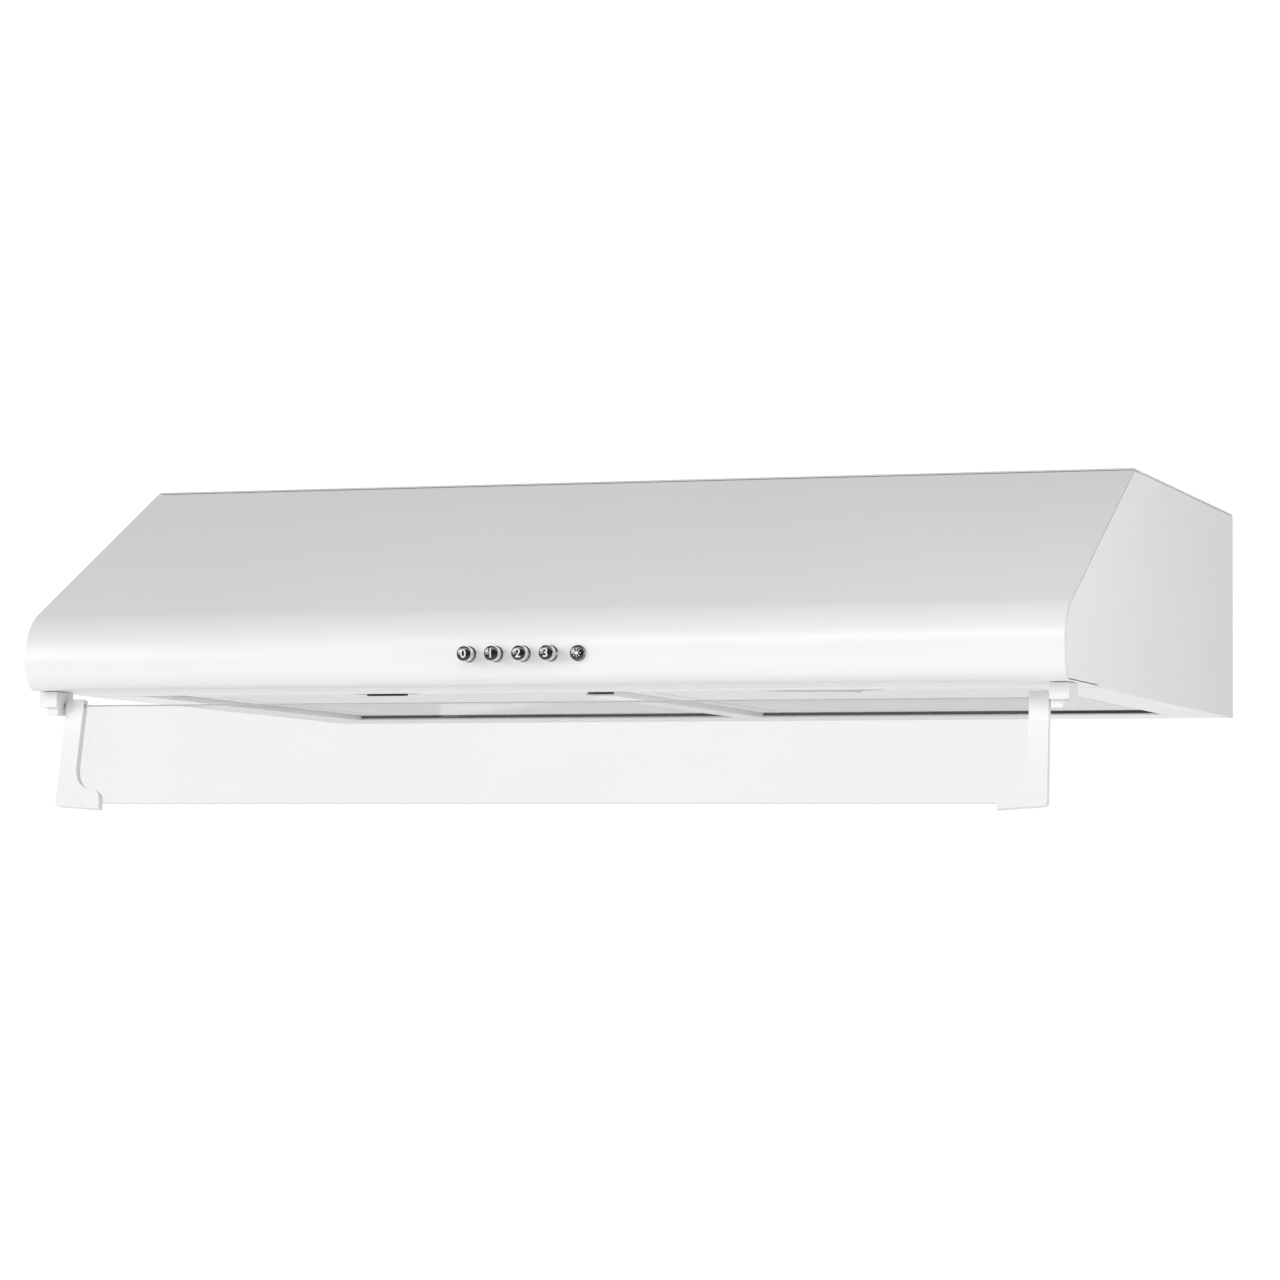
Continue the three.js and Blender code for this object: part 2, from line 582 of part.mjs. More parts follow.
// Foam strip on the front of the rear flange, along the rear edge of the filter.
function filterSeal(side) {
  const rear = BAY_REAR - GAP;
  return box(side * (RAIL_HALF_WIDTH + GAP), side * (BAY_HALF_WIDTH - GAP),
    rear - SEAL_DEPTH, rear, SEAL_BOTTOM, SEAL_TOP);
}

// ---------------------------------------------------------------- visor

// Bracket outline in the visor's plane: distance inwards from the outer edge, and height.
function bracketShape(side) {
  const place = (inward, up) => [side * (BRACKET_OUTER - inward), BRACKET_BOTTOM + up];
  const top = 61.6;
  const shape = new THREE.Shape();
  shape.moveTo(...place(0, 1.2));
  shape.lineTo(...place(1.4, top - 3));
  shape.quadraticCurveTo(...place(1.5, top), ...place(4, top));
  shape.lineTo(...place(12.2, top));
  shape.lineTo(...place(11.2, 23));
  shape.quadraticCurveTo(...place(11.4, 10.2), ...place(22.5, 9.3));
  shape.quadraticCurveTo(...place(26.9, 8.6), ...place(27.3, 3));
  shape.lineTo(...place(27.5, -1.9));
  shape.lineTo(...place(1.2, 0));
  return shape;
}

function visorBracket(side) {
  const geometry = extruded(bracketShape(side), 2 * BRACKET_HALF_THICKNESS, 5);
  geometry.rotateX(Math.PI / 2);
  geometry.translate(0, BRACKET_HALF_THICKNESS, 0);
  const span = [BRACKET_OUTER - 14, BRACKET_OUTER + 1].map((x) => side * x).sort((a, b) => a - b);
  return solidOf(geometry).subtract(turnedX(rod(PIN_HOLE_RADIUS, ...span), 0, 0, 16));
}

function visorPanel() {
  const front = BRACKET_HALF_THICKNESS + GAP;
  return box(-VISOR_HALF_WIDTH, VISOR_HALF_WIDTH, front, front + VISOR_THICKNESS, VISOR_BOTTOM, VISOR_TOP);
}

const visorPin = (side) => {
  const span = [BRACKET_OUTER - 10.5, BLOCK_OUTER - 2.5].map((x) => side * x).sort((a, b) => a - b);
  return turnedX(rod(PIN_RADIUS, ...span), VISOR_AXIS_Y, VISOR_AXIS_Z, 16);
};

// Stepped block that carries the visor's pin under each front corner.
function pivotBlock(side) {
  const y = VISOR_AXIS_Y;
  const upper = box(side * BLOCK_INNER, side * BLOCK_OUTER, y - 11, y + 10, -9.1, -GAP);
  const lower = box(side * (BLOCK_INNER + 0.6), side * (BLOCK_OUTER - 3.7), y - 8.5, y + 7.5, -13.5, -8.6);
  const span = [BLOCK_INNER - 1, BLOCK_OUTER - 2].map((x) => side * x).sort((a, b) => a - b);
  const hole = turnedX(rod(PIN_HOLE_RADIUS, ...span), y, VISOR_AXIS_Z, 16);
  return joined(upper, lower).subtract(hole);
}

// ---------------------------------------------------------------- materials and assembly

const finish = (color, roughness, metalness) =>
  new THREE.MeshStandardMaterial({ color, roughness, metalness });
const whitePaint = () => finish(0xf1f1ef, 0.35, 0);
const whitePlastic = () => finish(0xf6f6f4, 0.4, 0);
const greySheet = () => finish(0xb9bcbe, 0.45, 0.9);
const castPlastic = () => finish(0xd9d9d6, 0.55, 0);
const darkPlastic = () => finish(0x2b2c2e, 0.5, 0);
const chrome = () => finish(0xd8dadc, 0.12, 1);
const steel = () => finish(0x9b9ea1, 0.35, 1);
const aluminium = () => finish(0xc9cbcc, 0.4, 0.9);
const clearPlastic = () => finish(0xe9eeee, 0.08, 0);
const glass = () => finish(0xf2f2ea, 0.05, 0);

function named(name, solid, material) {
  const mesh = new THREE.Mesh(geometryOf(solid), material);
  mesh.name = name;
  return mesh;
}

const hood = new THREE.Group();
hood.position.set(0, -ORIGIN_Y, -HEIGHT);

hood.add(
  named('front_panel', frontPanel(), whitePaint()),
  named('top_panel', topPanel(), whitePaint()),
  named('rear_panel', rearPanel(), whitePaint()),
  named('filter_rail', filterRail(), whitePaint()),
  named('lamp_panel', lampPanel(), whitePaint()),
  named('outlet_collar', outletCollar(), darkPlastic()),
  named('damper_spindle', damperSpindle(), steel()),
  named('front_damper_flap', damperFlap(-1), castPlastic()),
  named('rear_damper_flap', damperFlap(1), castPlastic()),
  named('fan_scroll', fanScroll(), greySheet()),
  named('impeller', impeller(), darkPlastic()),
  named('motor_shaft', motorShaft(), steel()),
  named('motor_rotor', motorRotor(), steel()),
  named('motor_stator', motorStator(), steel()),
  named('motor_can', motorCan(), greySheet()),
  named('lower_bearing', bearing(CAN_BOTTOM - 0.2), steel()),
  named('upper_bearing', bearing(CAN_TOP - 6), steel()),
  named('capacitor', capacitor(), castPlastic()),
  named('terminal_box', terminalBox(), castPlastic()),
  named('terminal_box_lid', terminalLid(), castPlastic()),
  named('cable_gland', cableGland(), darkPlastic()),
  named('wiring_loom', wiringLoom(), darkPlastic()),
  named('switch_block', switchBlock(), darkPlastic()),
  named('lamp_lens', lampLens(), clearPlastic()),
  named('lamp_reflector', lampReflector(), greySheet()),
  named('lamp_holder', lampHolder(), castPlastic()),
  named('lamp_bulb', lampBulb(), glass()),
);

BUTTON_NAMES.forEach((name, i) => {
  const pressed = name === 'light' ? BUTTON_TRAVEL : 0;
  hood.add(named(`button_${name}`, pushButton(buttonPlaces()[i], pressed), chrome()));
});

const visor = new THREE.Group();
visor.position.set(0, VISOR_AXIS_Y, VISOR_AXIS_Z);
visor.rotation.x = -VISOR_TILT;
visor.add(named('visor_panel', visorPanel(), clearPlastic()));
hood.add(visor);

for (const [word, side] of [['left', -1], ['right', 1]]) {
  visor.add(named(`${word}_visor_bracket`, visorBracket(side), whitePlastic()));
  hood.add(
    named(`${word}_side_panel`, sidePanel(side), whitePaint()),
    named(`${word}_pivot_block`, pivotBlock(side), whitePlastic()),
    named(`${word}_visor_pin`, visorPin(side), steel()),
    named(`${word}_filter_frame`, filterFrame(side), aluminium()),
    named(`${word}_filter_mesh`, filterMesh(side), aluminium()),
    named(`${word}_filter_latch`, filterLatch(side), darkPlastic()),
    named(`${word}_filter_seal`, filterSeal(side), darkPlastic()),
  );
}

const part = new THREE.Group();
part.add(hood);

export default part;
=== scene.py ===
"""Under-cabinet range hood: the visible surfaces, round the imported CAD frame, in metres."""

import json
import math

import bmesh
import bpy
from mathutils import Matrix, Vector


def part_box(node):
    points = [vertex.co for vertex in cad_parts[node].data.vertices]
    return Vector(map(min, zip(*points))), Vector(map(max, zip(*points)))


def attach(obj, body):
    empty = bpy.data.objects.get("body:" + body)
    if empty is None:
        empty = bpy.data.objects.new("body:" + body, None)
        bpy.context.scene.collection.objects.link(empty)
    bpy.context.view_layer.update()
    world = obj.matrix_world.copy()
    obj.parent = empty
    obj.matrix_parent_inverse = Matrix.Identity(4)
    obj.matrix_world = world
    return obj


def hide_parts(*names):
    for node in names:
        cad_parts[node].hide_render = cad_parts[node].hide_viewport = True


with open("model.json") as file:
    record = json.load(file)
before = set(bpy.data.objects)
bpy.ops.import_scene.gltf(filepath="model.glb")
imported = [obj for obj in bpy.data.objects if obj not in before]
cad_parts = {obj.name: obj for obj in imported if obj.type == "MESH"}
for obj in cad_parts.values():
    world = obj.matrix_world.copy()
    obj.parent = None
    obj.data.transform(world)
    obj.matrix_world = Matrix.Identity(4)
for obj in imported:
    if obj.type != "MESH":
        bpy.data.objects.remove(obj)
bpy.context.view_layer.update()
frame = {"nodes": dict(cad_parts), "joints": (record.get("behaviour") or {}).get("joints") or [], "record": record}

MM = 0.001
SIDES = (("left", -1), ("right", 1))

# Camera: its place and turn in the hood's frame, and its lens and sensor in millimetres.
CAMERA_PLACE = Vector((0.789, -2.405, -0.242))
CAMERA_YAW = math.radians(-18.5)
CAMERA_PITCH = math.radians(3.46)
CAMERA_ROLL = math.radians(0.4)
CAMERA_LENS = 119.17
CAMERA_SENSOR = 36

# Studio. Tones are shares of full white.
FLOOR_Z = -1.5
FLOOR_RADIUS = 10
FLOOR_TONE = 0.84
FLOOR_GLOW = 0.36
BACKDROP = 1.05
CEILING = 0.48
FRONT_WALL = 0.22
RIGHT_WALL = 0.05

# Softboxes: name, place, the point that it faces, width, height and power in watts.
SOFTBOXES = (
    ("left_softbox", (-2.2, -2.6, 0.25), (0, -0.2, -0.15), 1.7, 1.0, 19),
    ("high_softbox", (-2.4, -2.2, 0.9), (0, -0.2, -0.05), 1.7, 1.0, 35),
    ("near_softbox", (0.2, -0.75, 0.25), (0.05, -0.2, -0.05), 1.2, 0.2, 2.1),
    ("side_softbox", (1.1, -0.55, -0.1), (0.3, -0.1, -0.1), 0.3, 0.5, 2.9),
    ("low_softbox", (0.1, -0.7, -1.2), (0, -0.1, 0), 1.2, 0.5, 1.3),
)

# Front panel, one folded sheet.
SHEET = 1 * MM
SHEET_EDGE = 0.25 * MM
SLOPE = math.radians(27.6)
NOSE_HEIGHT = 17 * MM
UPPER_RADIUS = 30 * MM
LOWER_RADIUS = 20 * MM
LIP_BEND = 2.2 * MM
HEM_BEND = 0.5 * MM
LAMP_PANEL_GAP = 0.4 * MM
BUTTON_HOLE_RADIUS = 4.4 * MM
DRILL_REACH = 8 * MM

# Buttons: the raised symbol of each, and sizes. Depths and the start and end of the dark ring of painted shade
# round the plunger are measured inwards from the front of the cap.
BUTTONS = {
    "button_off": "0",
    "button_speed_1": "1",
    "button_speed_2": "2",
    "button_speed_3": "3",
    "button_light": "sun",
}
PLUNGER_DEPTH = 1.5 * MM
PLUNGER_EDGE = 0.4 * MM
CAP_CLEARANCE = 0.05 * MM
CAP_DOME = 0.55 * MM
CAP_RIM = 0.35 * MM
CAP_BORDER = 0.45 * MM
SYMBOL_HEIGHT = 4.9 * MM
SYMBOL_ROOT = 0.1 * MM
SYMBOL_SPREAD = 0.012
SHADE_RING_START = 6.3 * MM
SHADE_RING_END = 8.1 * MM
SHADE_RING_GROOVE = 0.25 * MM
SHADE_RING_CLEARANCE = 0.02 * MM
BUTTON_SEGMENTS = 72

# Visor. It is drawn upright below its hinge axis and tilted into its place. The drill for the pin starts
# past the inner side of the bracket, measured from its outer edge.
VISOR_TILT = math.radians(10)
VISOR_EDGE = 0.3 * MM
BRACKET_FOOT = -58.4 * MM
BRACKET_THICKNESS = 5 * MM
BRACKET_EDGE = 0.6 * MM
PIN_HOLE_RADIUS = 1.5 * MM
PIN_DRILL_START = 14 * MM
PIN_DRILL_LENGTH = 15 * MM

# Filters: borders of the frame's window, the pressed mesh, and the two layers of expanded metal, each
# with its share of the mesh's height and its sideways shift in diamonds.
WINDOW_BORDER = 12 * MM
WINDOW_FRONT_BORDER = 30 * MM
PRESSED_DEPTH = 2.9 * MM
PRESSED_EDGE = 2 * MM
DIAMOND = Vector((8.4 * MM, 4.6 * MM))
STRAND = 0.75 * MM
MESH_LAYERS = ((0.25, 0.0), (0.75, 0.5))

# Width of the bevelled edges of the CAD nodes that keep their shape, in millimetres. A node that isn't
# listed has small ones.
SMALL_EDGE = 0.15
KEPT_EDGES = {
    "top_panel": 0.25, "rear_panel": 0.25, "left_side_panel": 0.3, "right_side_panel": 0.3,
    "filter_rail": 0.25, "lamp_panel": 0.25,
    "left_pivot_block": 0.8, "right_pivot_block": 0.8,
    "left_filter_frame": 0.35, "right_filter_frame": 0.35,
    "left_filter_latch": 0.4, "right_filter_latch": 0.4,
    "outlet_collar": 0.5, "terminal_box": 0.8, "terminal_box_lid": 0.6, "cable_gland": 0.4,
    "switch_block": 0.3, "fan_scroll": 0.25, "motor_can": 0.3, "impeller": 0.2,
    "capacitor": 1.0, "lamp_reflector": 0.2, "lamp_holder": 0.5,
}
BEVEL_ANGLE = math.radians(32)
WELD_DISTANCE = 0.01 * MM

# Colour sockets of Blender's Mix node, whose names are shared with its other types.
MIX_FIRST = 6
MIX_SECOND = 7
MIX_RESULT = 2

FORWARD = Matrix.Rotation(-math.pi / 2, 4, "X")  # turns +Z to +Y, which points into the hood
BACKWARD = Matrix.Rotation(math.pi / 2, 4, "X")  # turns +Z to -Y, which points out of its front

record = frame["record"]
BODY_OF = {node: body for body, nodes in record["behaviour"]["bodies"].items() for node in nodes}
SLOT_OF = {row["node"]: row["material_slot"] for row in record["subparts"]}
JOINTS = {joint["name"]: joint for joint in frame["joints"]}


# ---------------------------------------------------------------- camera, light and floor

def make_camera():
    yaw, pitch, roll = CAMERA_YAW, CAMERA_PITCH, CAMERA_ROLL
    ahead = Vector((math.sin(yaw) * math.cos(pitch), math.cos(yaw) * math.cos(pitch), math.sin(pitch)))
    level = Vector((math.cos(yaw), -math.sin(yaw), 0))
    upright = level.cross(ahead)
    right = math.cos(roll) * level + math.sin(roll) * upright
    up = math.cos(roll) * upright - math.sin(roll) * level
    camera = bpy.data.objects.new("camera", bpy.data.cameras.new("camera"))
    camera.data.sensor_width = CAMERA_SENSOR
    camera.data.lens = CAMERA_LENS
    camera.data.clip_end = 100
    turn = Matrix((right, up, -ahead)).transposed().to_4x4()
    camera.matrix_world = Matrix.Translation(CAMERA_PLACE) @ turn
    bpy.context.scene.collection.objects.link(camera)
    bpy.context.scene.camera = camera


def softbox(name, place, target, width, height, power):
    data = bpy.data.lights.new(name, "AREA")
    data.shape = "RECTANGLE"
    data.size = width
    data.size_y = height
    data.energy = power
    light = bpy.data.objects.new(name, data)
    light.location = place
    light.rotation_mode = "QUATERNION"
    light.rotation_quaternion = (Vector(target) - Vector(place)).to_track_quat("-Z", "Y")
    light.visible_camera = False
    light.visible_transmission = False
    bpy.context.scene.collection.objects.link(light)


def make_world():
    """A white backdrop for the camera. It lights the hood from behind and the left, less from above."""
    world = bpy.data.worlds.new("studio")
    bpy.context.scene.world = world
    world.use_nodes = True
    nodes, links = world.node_tree.nodes, world.node_tree.links
    place = nodes.new("ShaderNodeTexCoord")
    split = nodes.new("ShaderNodeSeparateXYZ")
    links.new(place.outputs["Generated"], split.inputs["Vector"])

    def ramp(axis, start, start_tone, end, end_tone):
        """Tone that eases from one to the other along an axis, which runs from 0 to 1 across the world."""
        made = nodes.new("ShaderNodeValToRGB")
        made.color_ramp.interpolation = "EASE"
        for element, position, tone in zip(made.color_ramp.elements, (start, end), (start_tone, end_tone)):
            element.position = position
            element.color = (tone, tone, tone, 1)
        shifted = nodes.new("ShaderNodeMath")
        shifted.operation = "MULTIPLY_ADD"
        shifted.inputs[1].default_value = 0.5
        shifted.inputs[2].default_value = 0.5
        links.new(split.outputs[axis], shifted.inputs[0])
        links.new(shifted.outputs["Value"], made.inputs["Fac"])
        return made.outputs["Color"]

    def times(one, two):
        both = nodes.new("ShaderNodeVectorMath")
        both.operation = "MULTIPLY"
        links.new(one, both.inputs[0])
        links.new(two, both.inputs[1])
        return both.outputs["Vector"]

    walls = times(ramp("Y", 0.4, FRONT_WALL, 0.65, 1.0), ramp("X", 0.65, 1.0, 0.9, RIGHT_WALL))
    walls_and_ceiling = times(walls, ramp("Z", 0.74, 1.0, 0.9, CEILING))
    rays = nodes.new("ShaderNodeLightPath")
    direct = nodes.new("ShaderNodeMath")
    direct.operation = "MAXIMUM"
    links.new(rays.outputs["Is Camera Ray"], direct.inputs[0])
    links.new(rays.outputs["Is Transmission Ray"], direct.inputs[1])
    seen = nodes.new("ShaderNodeMix")
    seen.data_type = "RGBA"
    links.new(direct.outputs["Value"], seen.inputs["Factor"])
    links.new(walls_and_ceiling, seen.inputs[MIX_FIRST])
    seen.inputs[MIX_SECOND].default_value = (1, 1, 1, 1)
    links.new(seen.outputs[MIX_RESULT], nodes["Background"].inputs["Color"])
    nodes["Background"].inputs["Strength"].default_value = BACKDROP


def make_floor():
    mesh = bpy.data.meshes.new("floor")
    shape = bmesh.new()
    bmesh.ops.create_circle(shape, cap_ends=True, segments=96, radius=FLOOR_RADIUS)
    shape.to_mesh(mesh)
    shape.free()
    floor = bpy.data.objects.new("floor", mesh)
    floor.location.z = FLOOR_Z
    material = bpy.data.materials.new("pale_floor")
    material.use_nodes = True
    shader = material.node_tree.nodes["Principled BSDF"]
    shader.inputs["Base Color"].default_value = (FLOOR_TONE, FLOOR_TONE, FLOOR_TONE, 1)
    shader.inputs["Roughness"].default_value = 0.8
    shader.inputs["Emission Color"].default_value = (1, 1, 1, 1)
    shader.inputs["Emission Strength"].default_value = FLOOR_GLOW
    mesh.materials.append(material)
    bpy.context.scene.collection.objects.link(floor)


# ---------------------------------------------------------------- materials

class Finish:
    """A Principled material with noise drawn in the hood's own frame. Cell sizes are in metres."""

    def __init__(self, name, color, roughness, metallic=0.0):
        self.material = bpy.data.materials.new(name)
        self.material.use_nodes = True
        self.nodes = self.material.node_tree.nodes
        self.links = self.material.node_tree.links
        self.shader = self.nodes["Principled BSDF"]
        self.color = color
        self.set("Base Color", (*color, 1))
        self.set("Roughness", roughness)
        self.set("Metallic", metallic)
        self.place = self.nodes.new("ShaderNodeTexCoord").outputs["Object"]
        self.bump_end = None

    def set(self, socket, value):
        self.shader.inputs[socket].default_value = value

    def noise(self, cell, detail=2.0, stretch=(1, 1, 1)):
        """Noise of that cell size. A stretch over 1 makes the cells shorter along its axis."""
        mapping = self.nodes.new("ShaderNodeMapping")
        mapping.inputs["Scale"].default_value = [s / cell for s in stretch]
        noise = self.nodes.new("ShaderNodeTexNoise")
        noise.inputs["Scale"].default_value = 1
        noise.inputs["Detail"].default_value = detail
        self.links.new(self.place, mapping.inputs["Vector"])
        self.links.new(mapping.outputs["Vector"], noise.inputs["Vector"])
        return noise.outputs["Fac"]

    def blotch(self, fac, darkest):
        """The colour itself, mixed with a darker share of it."""
        ramp = self.nodes.new("ShaderNodeValToRGB")
        ramp.color_ramp.interpolation = "EASE"
        ramp.color_ramp.elements[0].position = 0.2
        ramp.color_ramp.elements[1].position = 0.8
        ramp.color_ramp.elements[0].color = (*[c * darkest for c in self.color], 1)
        ramp.color_ramp.elements[1].color = (*self.color, 1)
        self.links.new(fac, ramp.inputs["Fac"])
        self.links.new(ramp.outputs["Color"], self.shader.inputs["Base Color"])

    def gloss(self, fac, low, high):
        """Roughness between two values."""
        spread = self.nodes.new("ShaderNodeMapRange")
        spread.inputs["From Min"].default_value = 0.1
        spread.inputs["From Max"].default_value = 0.9
        spread.inputs["To Min"].default_value = low
        spread.inputs["To Max"].default_value = high
        self.links.new(fac, spread.inputs["Value"])
        self.links.new(spread.outputs["Result"], self.shader.inputs["Roughness"])

    def relief(self, height, depth, strength):
        """Bump of that depth in metres. Calls add up."""
        bump = self.nodes.new("ShaderNodeBump")
        bump.inputs["Distance"].default_value = depth
        bump.inputs["Strength"].default_value = strength
        self.links.new(height, bump.inputs["Height"])
        if self.bump_end:
            self.links.new(self.bump_end, bump.inputs["Normal"])
        self.bump_end = bump.outputs["Normal"]
        self.links.new(self.bump_end, self.shader.inputs["Normal"])


def white_paint():
    paint = Finish("white_powder_coat", (0.86, 0.86, 0.857), 0.25)
    paint.blotch(paint.noise(120 * MM, 1), 0.98)
    paint.gloss(paint.noise(60 * MM, 1), 0.22, 0.28)
    paint.relief(paint.noise(4 * MM, 0), 0.004 * MM, 0.4)
    return paint.material


def white_plastic():
    plastic = Finish("white_plastic", (0.83, 0.83, 0.827), 0.38)
    plastic.blotch(plastic.noise(12 * MM), 0.985)
    plastic.gloss(plastic.noise(4 * MM), 0.34, 0.44)
    plastic.relief(plastic.noise(0.5 * MM, 0), 0.006 * MM, 0.3)
    return plastic.material


def frosted(name, color, roughness, passed, ripple, depth):
    """Plastic or glass that lets the passed share of the light through, with long shallow ripples."""
    clear = Finish(name, color, roughness)
    clear.set("Transmission Weight", passed)
    clear.set("IOR", 1.49)
    clear.blotch(clear.noise(12 * MM), 0.98)
    clear.relief(clear.noise(ripple, 0, (1, 0.05, 1)), depth, 0.5)
    return clear.material


def clear_sheet():
    """Thin clear acrylic. A gloss coat gives the reflections, and the body hardly bends the light."""
    clear = Finish("clear_visor", (0.88, 0.885, 0.885), 0.02)
    clear.set("Transmission Weight", 1.0)
    clear.set("IOR", 1.06)
    clear.set("Coat Weight", 1.0)
    clear.set("Coat Roughness", 0.03)
    clear.blotch(clear.noise(90 * MM, 1), 0.985)
    clear.relief(clear.noise(60 * MM, 1), 0.02 * MM, 0.3)
    return clear.material


def chrome():
    plated = Finish("chrome", (0.8, 0.81, 0.82), 0.05, 1.0)
    plated.gloss(plated.noise(1.5 * MM, 3), 0.03, 0.1)
    plated.relief(plated.noise(0.6 * MM), 0.003 * MM, 0.3)
    return plated.material


# Chrome for the button caps. Its near-black base colour is a painted dark reflection, in place of a dark room for
# the caps to mirror.
def chrome_painted_dark_reflection():
    plated = Finish("chrome_painted_dark_reflection", (0.09, 0.091, 0.093), 0.07, 1.0)
    plated.gloss(plated.noise(1.5 * MM, 3), 0.05, 0.12)
    plated.relief(plated.noise(0.6 * MM), 0.002 * MM, 0.3)
    return plated.material


def printed_white():
    ink = Finish("printed_white", (0.9, 0.9, 0.9), 0.45)
    ink.blotch(ink.noise(0.5 * MM), 0.93)
    ink.relief(ink.noise(0.15 * MM), 0.01 * MM, 0.4)
    return ink.material


def aluminium():
    metal = Finish("filter_aluminium", (0.9, 0.903, 0.906), 0.5, 0.4)
    metal.blotch(metal.noise(14 * MM, 4), 0.95)
    metal.gloss(metal.noise(3 * MM, 3), 0.44, 0.58)
    metal.relief(metal.noise(0.5 * MM, 2, (1, 0.15, 1)), 0.004 * MM, 0.4)
    return metal.material


def zinc_sheet():
    metal = Finish("zinc_sheet", (0.6, 0.62, 0.64), 0.42, 1.0)
    metal.blotch(metal.noise(11 * MM, 5), 0.8)
    metal.gloss(metal.noise(7 * MM, 4), 0.32, 0.55)
    metal.relief(metal.noise(0.8 * MM, 3), 0.01 * MM, 0.4)
    return metal.material


def bright_steel():
    metal = Finish("bright_steel", (0.63, 0.64, 0.66), 0.28, 1.0)
    metal.blotch(metal.noise(4 * MM, 3), 0.9)
    metal.gloss(metal.noise(0.4 * MM, 2, (6, 1, 1)), 0.2, 0.38)
    metal.relief(metal.noise(0.25 * MM, 2, (8, 1, 1)), 0.004 * MM, 0.4)
    return metal.material


def moulded(name, color, grain):
    plastic = Finish(name, color, 0.48)
    plastic.blotch(plastic.noise(15 * MM, 3), 0.93)
    plastic.gloss(plastic.noise(1.5 * MM, 2), 0.42, 0.58)
    plastic.relief(plastic.noise(grain, 2), 0.03 * MM, 0.5)
    return plastic.material


# The materials by slot, and three more: visor_edge, printed_white and the caps' chrome, whose near-black base
# colour is a painted dark reflection.
SKINS = {
    "white_paint": white_paint(),
    "white_plastic": white_plastic(),
    "clear_visor": clear_sheet(),
    "visor_edge": frosted("visor_edge", (0.86, 0.885, 0.88), 0.4, 0.3, 3 * MM, 0.02 * MM),
    "clear_lens": frosted("clear_lens", (0.93, 0.93, 0.92), 0.3, 0.6, 1.6 * MM, 0.1 * MM),
    "bulb_glass": frosted("bulb_glass", (0.95, 0.94, 0.91), 0.45, 0.7, 6 * MM, 0.02 * MM),
    "chrome": chrome(),
    "filter_aluminium": aluminium(),
    "zinc_sheet": zinc_sheet(),
    "bright_steel": bright_steel(),
    "dark_plastic": moulded("dark_plastic", (0.035, 0.036, 0.038), 0.5 * MM),
    "grey_plastic": moulded("grey_plastic", (0.55, 0.55, 0.54), 0.5 * MM),
    "printed_white": printed_white(),
    "chrome_painted_dark_reflection": chrome_painted_dark_reflection(),
}


# ---------------------------------------------------------------- mesh helpers

def new_object(name, mesh, skin):
    piece = bpy.data.objects.new(name, mesh)
    mesh.materials.clear()
    mesh.materials.append(skin)
    bpy.context.scene.collection.objects.link(piece)
    return piece


def from_bmesh(name, shape, skin):
    bmesh.ops.recalc_face_normals(shape, faces=shape.faces)
    mesh = bpy.data.meshes.new(name)
    shape.to_mesh(mesh)
    shape.free()
    return new_object(name, mesh, skin)


def smooth(piece, angle=35):
    """Smooth shading, with sharp edges where faces meet at more than that many degrees."""
    piece.data.shade_smooth()
    piece.data.set_sharp_from_angle(angle=math.radians(angle))
    return piece


def apply_modifiers(piece):
    """The piece's mesh becomes what its modifiers show."""
    bpy.context.view_layer.update()
    seen = piece.evaluated_get(bpy.context.evaluated_depsgraph_get())
    mesh = bpy.data.meshes.new_from_object(seen)
    piece.modifiers.clear()
    piece.data = mesh


def cut(piece, cutter):
    """Cuts the cutter out of the piece and removes the cutter."""
    modifier = piece.modifiers.new("boolean", "BOOLEAN")
    modifier.object = cutter
    modifier.operation = "DIFFERENCE"
    modifier.solver = "EXACT"
    apply_modifiers(piece)
    bpy.data.objects.remove(cutter)


def bevelled(piece, width, segments=2):
    """Rounds the edges that are sharper than BEVEL_ANGLE, and keeps the flat faces flat in their shading."""
    bevel = piece.modifiers.new("bevel", "BEVEL")
    bevel.width = width
    bevel.segments = segments
    bevel.limit_method = "ANGLE"
    bevel.angle_limit = BEVEL_ANGLE
    bevel.miter_outer = "MITER_ARC"
    normals = piece.modifiers.new("normals", "WEIGHTED_NORMAL")
    normals.keep_sharp = False
    normals.weight = 80


def stands_for(piece, node):
    """The piece takes the CAD node's place and body, and the node is hidden."""
    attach(piece, BODY_OF[node])
    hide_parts(node)


def extent(points):
    """Lowest and highest corner of the box round the points."""
    low = Vector([min(point[i] for point in points) for i in range(3)])
    high = Vector([max(point[i] for point in points) for i in range(3)])
    return low, high


def curve_points(start, control, end, steps):
    """A quadratic Bezier curve, without its first point."""
    start, control, end = Vector(start), Vector(control), Vector(end)
    share = [i / steps for i in range(1, steps + 1)]
    return [(1 - t) ** 2 * start + 2 * t * (1 - t) * control + t * t * end for t in share]


def arc_points(centre, radius, first, last, steps):
    """Points on a circle from the first angle to the last, both included."""
    turns = [first + (last - first) * i / steps for i in range(steps + 1)]
    return [Vector((centre[0] + radius * math.cos(a), centre[1] + radius * math.sin(a))) for a in turns]


def offset_line(points, distance):
    """The open line moved to the left of its direction."""
    moved = []
    for i, point in enumerate(points):
        before = (point - points[i - 1]).normalized() if i else (points[1] - point).normalized()
        after = (points[i + 1] - point).normalized() if i + 1 < len(points) else before
        side = Vector((-before.y, before.x))
        middle = (Vector((-after.y, after.x)) + side).normalized()
        moved.append(point + middle * distance / middle.dot(side))
    return moved


def loft(name, rings, skin):
    """Closed rings of points joined in order, with flat ends."""
    shape = bmesh.new()
    made = [[shape.verts.new(point) for point in ring] for ring in rings]
    for one, two in zip(made, made[1:]):
        for i in range(len(one)):
            j = (i + 1) % len(one)
            shape.faces.new((one[i], one[j], two[j], two[i]))
    shape.faces.new(made[0])
    shape.faces.new(made[-1])
    return from_bmesh(name, shape, skin)


